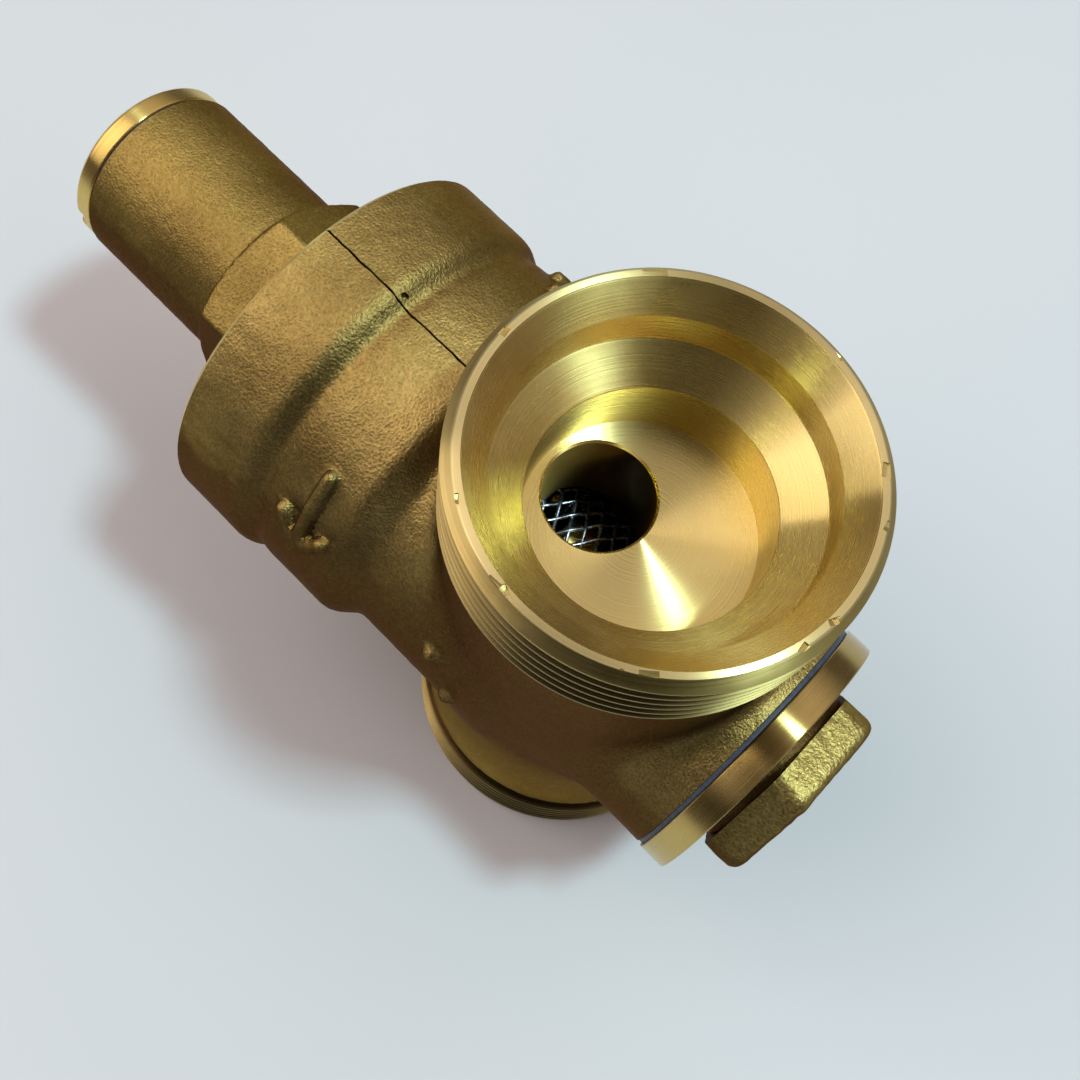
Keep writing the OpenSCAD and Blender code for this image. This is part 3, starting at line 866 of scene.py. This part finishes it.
def make_spring_seats():
    """The two plates that hold the spring, and the washer under the adjusting screw."""
    start, end, radius = span("upper_spring_seat")
    plate, pilot_r = end - 2, 4.9
    upper = lathe("upper_spring_seat", [
        (start, 0), (start, pilot_r - 1), (start + 1, pilot_r), (plate, pilot_r), (plate, radius),
        (end, radius), (end, 2.4), (end - 0.5, 1.6), (end - 0.5, 0)], STEEL)
    finish_piece(upper, ["upper_spring_seat"])
    start, end, radius = span("lower_spring_seat")
    lower = ring("lower_spring_seat", start, end, radius, 2.55, STEEL, 0.12)
    finish_piece(lower, ["lower_spring_seat"])
    start, end, radius = span("thrust_washer")
    washer = ring("thrust_washer", start, end, radius, 1.0, PTFE, 0.1)
    finish_piece(washer, ["thrust_washer"])


# ----- Piston, stem and disc -----

def make_piston():
    """The cup piston with its two grooves, and the split guide band."""
    start, end, radius = span("piston")
    band_start, band_end, _ = span("piston_guide_band")
    seal_start, seal_end, _ = span("piston_o_ring")
    floor = span("lower_spring_seat")[0]
    stem_hole_r, cup_r, band_groove_r, seal_groove_r = 2.55, 7.3, 14.25, 12.5
    outline = [
        (start, stem_hole_r), (start, radius), (band_start - 0.05, radius),
        (band_start - 0.05, band_groove_r), (band_end + 0.05, band_groove_r), (band_end + 0.05, radius),
        (seal_start - 0.3, radius), (seal_start - 0.3, seal_groove_r), (seal_end + 0.3, seal_groove_r),
        (seal_end + 0.3, radius), (end, radius), (end, cup_r + 0.3), (end - 0.3, cup_r), (floor, cup_r),
        (floor, stem_hole_r)]
    finish_piece(lathe("piston", outline, AXIS_BRASS, radius=0.12), ["piston"])
    band = ring("piston_guide_band", band_start, band_end, radius + 0.02, 14.3, PTFE)
    slit = block("slit", (band_start - 1, -0.35, AXIS_Z + 10), (band_end + 1, 0.35, AXIS_Z + 20), PTFE)
    finish_piece(cut(band, slit), ["piston_guide_band"])


def make_o_ring(node):
    start, end, outer = span(node)
    middle, wire_r = (start + end) / 2, (end - start) / 2
    turn = 2 * np.pi * np.arange(24) / 24
    outline = np.column_stack([middle + wire_r * np.sin(turn), outer - wire_r + wire_r * np.cos(turn)])
    return finish_piece(lathe(node, outline, RUBBER, radius=0), [node], 60)


def make_nut(node, across_flats, bore_r, pitch):
    """A hexagon nut with chamfered corners and a thread."""
    start, end, _ = span(node)
    face_r = across_flats / 2 - 0.1
    corner_r = across_flats / 2 / math.cos(math.pi / 6) + 0.1
    nut = prism(node, start, end, across_flats, AXIS_BRASS, 0.15)
    outline = [(start, 0), (start, face_r), (start + 0.5, corner_r), (end - 0.5, corner_r),
               (end, face_r), (end, 0)]
    combine(nut, lathe("chamfer", outline, AXIS_BRASS, radius=0), "INTERSECT")
    cut(nut, thread("bore", start - 1, end + 1, bore_r + 0.05, pitch, AXIS_BRASS, depth=pitch / 2,
                    sides=72))
    return finish_piece(nut, [node])


def make_stem():
    """The stem, with a thread for the disc's nut at one end and for the piston's nut at the other."""
    start, end, _ = span("stem")
    disc_face = span("valve_disc")[1]
    shoulder = span("piston")[0]
    thin_r, thick_r, piston_thread_r = 2.0, 2.8, 2.5
    stem = lathe("stem", [
        (start + 6, 0), (start + 6, thin_r), (disc_face, thin_r), (disc_face, thick_r),
        (shoulder, thick_r), (shoulder, piston_thread_r), (shoulder + 0.6, piston_thread_r),
        (shoulder + 0.6, 0)], STEEL, radius=0.1)
    tail = threaded("tail", start, start + 6.5, thin_r, 0.7, STEEL, depth=0.35, chamfer=(0.4, 0))
    top = threaded("top", shoulder + 0.2, end, piston_thread_r, 0.8, STEEL, depth=0.4, chamfer=(0, 0.45))
    return finish_piece(join(stem, tail, top), ["stem"])


def make_seat_ring():
    """The seat: a flange with a raised lip, and a sleeve with a groove for its O-ring."""
    start, end, flange_r = span("seat_ring")
    seal_start, seal_end, _ = span("seat_o_ring")
    wall, sleeve_r, groove_r, hole_r = start + 1.7, 6.45, 5.4, 4.6
    seat = lathe("seat_ring", [
        (start, 4.75), (start, 5.15), (start + 0.5, 5.4), (start + 0.5, flange_r), (wall, flange_r),
        (wall, sleeve_r), (seal_start - 0.05, sleeve_r), (seal_start - 0.05, groove_r),
        (seal_end + 0.05, groove_r), (seal_end + 0.05, sleeve_r), (end - 0.3, sleeve_r), (end, 6.1),
        (end, 4.9), (end - 0.3, hole_r), (start + 0.3, hole_r)], AXIS_BRASS, radius=0.08)
    finish_piece(seat, ["seat_ring"])


def make_disc():
    """The rubber disc with the print of the seat's lip, the cup that holds it and its washer."""
    start, end, radius = span("disc_holder")
    disc_start, disc_end, disc_r = span("valve_disc")
    hole_r, lip_r = 2.05, 5.0
    holder = lathe("disc_holder", [
        (start, hole_r), (start, radius - 0.8), (start + 0.8, radius), (end, radius),
        (end, disc_r + 0.05), (disc_start, disc_r + 0.05), (disc_start, hole_r)], AXIS_BRASS)
    finish_piece(holder, ["disc_holder"])
    disc = lathe("valve_disc", [
        (disc_start, hole_r), (disc_start, disc_r), (disc_end - 0.2, disc_r), (disc_end, disc_r - 0.2),
        (disc_end, lip_r + 0.5), (disc_end - 0.06, lip_r), (disc_end, lip_r - 0.5),
        (disc_end, hole_r)], RUBBER)
    finish_piece(disc, ["valve_disc"])
    start, end, radius = span("disc_lock_washer")
    washer = ring("disc_lock_washer", start, end, radius, hole_r, STEEL, 0.06)
    notch = block("notch", (start - 1, -0.25, AXIS_Z + 1), (end + 1, 0.25, AXIS_Z + 5), STEEL)
    finish_piece(cut(washer, notch), ["disc_lock_washer"])


# ----- Strainer, plug and gaskets -----

def make_strainer_mesh():
    """A tube of two sets of crossing wires, which make diamonds."""
    start, end, outer = span("strainer_mesh")
    wires, wire_r, weave, lean = 17, 0.21, 0.1, math.radians(60)
    rings, sides = 180, 6
    radius = outer - 2 * wire_r
    length = end - start
    twist = length * math.tan(lean) / radius
    crossings = wires * twist / math.pi
    t = np.linspace(0, 1, rings)
    points, faces = [], []
    for hand in (1, -1):
        for k in range(wires):
            angle = 2 * np.pi * k / wires + hand * twist * t
            r = radius + hand * weave * np.cos(np.pi * (crossings * t + k))
            centre = np.stack([start + length * t, r * np.sin(angle), AXIS_Z + r * np.cos(angle)], -1)
            outwards = np.stack([0 * angle, np.sin(angle), np.cos(angle)], -1)
            ahead = np.gradient(centre, axis=0)
            ahead /= np.linalg.norm(ahead, axis=1, keepdims=True)
            wire = tube(centre, outwards, np.cross(ahead, outwards), wire_r, sides, flat=0.8)
            wire[..., 0] = np.clip(wire[..., 0], start, end)
            faces.append(tube_faces(rings, sides) + len(points) * rings * sides)
            points.append(wire.reshape(-1, 3))
    piece = mesh_piece("strainer_mesh", np.concatenate(points), np.concatenate(faces), WIRE)
    return finish_piece(piece, ["strainer_mesh"], 80)


def make_strainer_rings():
    for node, inner in (("strainer_front_ring", 7.4), ("strainer_rear_ring", 6.4)):
        start, end, outer = span(node)
        finish_piece(ring(node, start, end, outer, inner, STEEL, 0.12), [node])


def make_plug():
    """The plug: a cast hexagon, a groove, a turned flange, and a hollow spigot with a thread."""
    start, end, flange_r = span("bottom_plug")
    flange_end = span("plug_gasket")[0]
    flange_start = flange_end - 2.6
    root, reach = flange_start + 0.6, 12
    spigot_r, pocket_r, pocket_floor = 10.95, 8.35, -16.8
    grid = Grid((start - 1, -reach, AXIS_Z - reach), (flange_start + 1.5, reach, AXIS_Z + reach),
                CASTING_STEP * 0.7)
    limit = turned_field(grid, [(start, 0), (start, 13), (root, 13), (root, 0)], 0.1)
    hexagon = hexagon_field(grid, across_flats=18, corner=22, rounding=1.4)
    plug = grid.skin("bottom_plug", round_edges(hexagon, limit, 1.2), CAST_BRIGHT, lump=0.03, seed=3)
    # The flange uses the darker copy of the turned brass, as painted shade.
    flange = rod("flange", flange_start, flange_end, flange_r, PLUG_SHADE_BRASS, edge=0.15)
    # The groove's faces take the near-black crease brass, as painted shade.
    groove = ring("groove", flange_start - 1.2, flange_start + 0.1, flange_r + 1, 8.5, CREASE_SHADE, 0)
    spigot = threaded("spigot", flange_end - 0.5, end, spigot_r, PORT_PITCH, AXIS_BRASS,
                      chamfer=(0, 0.8))
    pocket = rod("pocket", pocket_floor, end + 1, pocket_r, AXIS_BRASS)
    join(cut(plug, groove), flange, spigot)
    cut(plug, pocket)
    return finish_piece(plug, ["bottom_plug"])


def make_gaskets():
    for node, inner, material, slot in (("bonnet_gasket", 15.1, FIBRE, "fibre_gasket"),
                                        ("cap_gasket", 8.1, DARK_GASKET, "dark_gasket"),
                                        ("plug_gasket", 11.2, DARK_GASKET, "dark_gasket")):
        start, end, outer = span(node)
        finish_piece(ring(node, start, end, outer, inner, material, 0.12), [node])


# ----- Stage -----

def make_floor():
    """A pale sheet, which turns to a mid grey away from the valve."""
    bpy.ops.mesh.primitive_plane_add(size=6, location=(0, 0, -0.0001))
    floor = bpy.context.object
    floor.name = "floor"
    g = Graph(bpy.data.materials.new("pale_paper"))
    paper = g.ramp(g.noise(120, 2), (0.3, (0.72, 0.725, 0.735)), (0.7, (0.75, 0.755, 0.765)))
    far = g.between(g.vector("LENGTH", g.place), 0.0, 1.0, 0.15, 0.6)
    colour = g.mix(far, paper, (0.34, 0.345, 0.35, 1))
    floor.data.materials.append(g.finish(Base_Color=colour, Roughness=0.75))


def direction(azimuth, elevation):
    """A unit vector, from an azimuth from +X towards +Y and an elevation, both in degrees."""
    turn, rise = math.radians(azimuth), math.radians(elevation)
    return Vector((math.cos(turn) * math.cos(rise), math.sin(turn) * math.cos(rise), math.sin(rise)))


def area_light(name, azimuth, elevation, distance, size, power, colour):
    """A soft box that faces the valve. Its distance and its width and height are in metres."""
    away = direction(azimuth, elevation)
    light = bpy.data.lights.new(name, "AREA")
    light.shape = "RECTANGLE"
    light.size, light.size_y = size
    light.energy, light.color = power, colour
    lamp = bpy.data.objects.new(name, light)
    lamp.location = Vector((10, 0, AXIS_Z)) * MM + away * distance
    lamp.rotation_euler = away.to_track_quat("Z", "Y").to_euler()
    bpy.context.scene.collection.objects.link(lamp)


def make_lights():
    """A small cool lamp, a broad warm window, and a dim room."""
    area_light("key", -147, 68, 0.9, (0.10, 0.10), power=4.1, colour=(0.62, 0.93, 1.0))
    area_light("window", 34, 44, 1.0, (0.70, 1.0), power=3.9, colour=(1.0, 0.88, 0.84))
    bpy.context.scene.world = make_room()
    bpy.context.scene.view_settings.view_transform = "Standard"


def make_room():
    """A pale ceiling over dark walls, shaded in two round patches as by somebody who leans in."""
    g = Graph(bpy.data.worlds.new("studio"), "Background", "Generated")
    height = g.node("ShaderNodeSeparateXYZ", {0: g.place}).outputs["Z"]
    room = g.ramp(height, (0.3, (0.13, 0.11, 0.11)), (0.8, (0.84, 0.75, 0.75)))
    light = 1.0
    for azimuth, elevation, inner, outer in ((118, 66, 18, 36), (128, 22, 20, 45)):
        nearness = g.vector("DOT_PRODUCT", g.place, direction(azimuth, elevation))
        rim, core = math.cos(math.radians(outer)), math.cos(math.radians(inner))
        shade = g.between(nearness, 1.0, 0.1, rim, core)
        light = g.math("MULTIPLY", light, shade)
    return g.finish(Color=room, Strength=light)


def make_camera():
    """Looks steeply down at the inlet from the +Y side, a little towards the plug."""
    target = Vector((8.34, 0, AXIS_Z)) * MM
    away = direction(117.86, 69.18)
    distance, roll = 119.51, 17.8
    lens = bpy.data.cameras.new("camera")
    lens.sensor_width, lens.lens, lens.clip_start = 36, 41.38, 0.005
    camera = bpy.data.objects.new("camera", lens)
    camera.location = target + away * distance * MM
    turn = Matrix.Rotation(math.radians(roll), 3, "Z")
    camera.rotation_euler = (away.to_track_quat("Z", "Y").to_matrix() @ turn).to_euler()
    bpy.context.scene.collection.objects.link(camera)
    bpy.context.scene.camera = camera


make_body()
make_bonnet()
make_cap()
make_adjusting_screw()
make_spring()
make_spring_seats()
make_piston()
make_o_ring("piston_o_ring")
make_o_ring("seat_o_ring")
make_nut("piston_nut", across_flats=8, bore_r=2.5, pitch=0.8)
make_nut("disc_nut", across_flats=7, bore_r=2.0, pitch=0.7)
make_stem()
make_seat_ring()
make_disc()
make_strainer_mesh()
make_strainer_rings()
make_plug()
make_gaskets()
make_floor()
make_lights()
make_camera()
